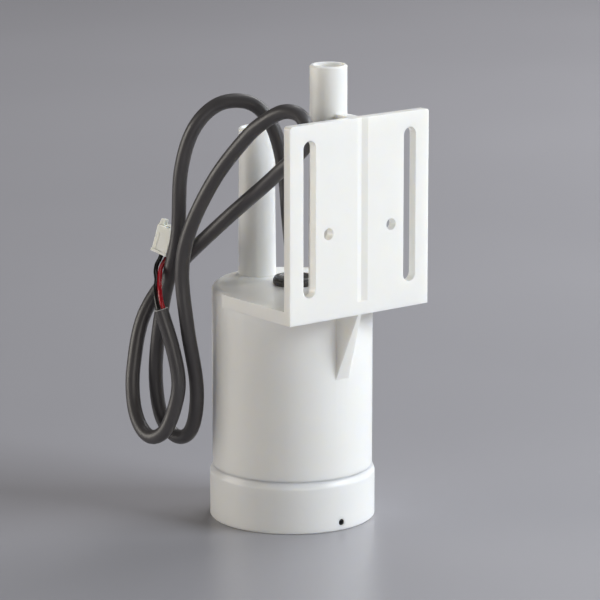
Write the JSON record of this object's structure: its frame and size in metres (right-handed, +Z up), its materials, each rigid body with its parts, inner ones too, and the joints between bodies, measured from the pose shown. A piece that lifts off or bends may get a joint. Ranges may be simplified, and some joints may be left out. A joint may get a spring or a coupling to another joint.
{
  "type": "submersible sump pump",
  "caption": "Submersible sump pump: cylindrical casing with a slotted mounting bracket, two riser pipes, a canned motor with impeller, and a looped two-core lead with plug.",
  "frame": {"origin": "centre of the water inlet in the plane that the collar stands on", "axes": "+Z up along the pump axis and the risers; -Y out of the front of the bracket plate; +X to the right seen from the bracket's front"},
  "size_m": [0.0809, 0.0875, 0.1765],
  "materials": {
    "white_plastic": "semi-gloss, slightly translucent moulded polypropylene",
    "seal_rubber": "matt nitrile rubber",
    "stainless_steel": "satin stainless steel",
    "black_steel": null,
    "ceramic": null,
    "dark_plastic": "satin dark nylon",
    "carbon": "carbon-filled bearing plastic",
    "ferrite": "ground ferrite ring",
    "silicon_steel": "stacked laminations",
    "copper_wire": null,
    "tinned_metal": "tinned",
    "potting_resin": "cast epoxy",
    "circuit_board": "solder mask",
    "chip_black": "moulded epoxy package",
    "core_red": "smooth PVC",
    "core_black": "smooth PVC",
    "lead_sheath": "satin dark grey PVC sheath",
    "connector_nylon": "natural nylon"
  },
  "bodies": {
    "body": {"casing": "white_plastic", "collar": "white_plastic", "collar_seal": "seal_rubber", "inlet_cover": "white_plastic", "cover_screws": "black_steel", "strainer": "white_plastic", "shaft_support": "white_plastic", "lower_thrust_washer": "ceramic", "volute": "white_plastic", "motor_plate": "white_plastic", "plate_screws": "stainless_steel", "can_seal": "seal_rubber", "isolation_can": "stainless_steel", "shaft": "ceramic", "upper_thrust_washer": "ceramic", "stator_core": "silicon_steel", "lower_insulator": "white_plastic", "upper_insulator": "white_plastic", "coils": "copper_wire", "coil_pins": "tinned_metal", "potting_resin": "potting_resin", "driver_board": "circuit_board", "driver_chip": "chip_black", "capacitor": "chip_black", "hall_sensor": "chip_black", "inner_leads": "core_red", "lead_tail": "lead_sheath", "lead_tie": "white_plastic", "gland_locknut": "dark_plastic", "cable_gland": "dark_plastic", "gland_seal": "seal_rubber", "lead": "lead_sheath", "red_core": "core_red", "black_core": "core_black", "connector_housing": "connector_nylon", "connector_terminals": "tinned_metal"},
    "rotor": {"rotor_hub": "dark_plastic", "rotor_magnet": "ferrite", "rotor_bushings": "carbon", "impeller": "dark_plastic"}
  },
  "joints": [
    {"name": "rotor_spin", "type": "hinge", "parent": "body", "child": "rotor", "pos_m": [0, 0, 0.03], "axis": [0, 0, 1], "continuous": true}
  ]
}
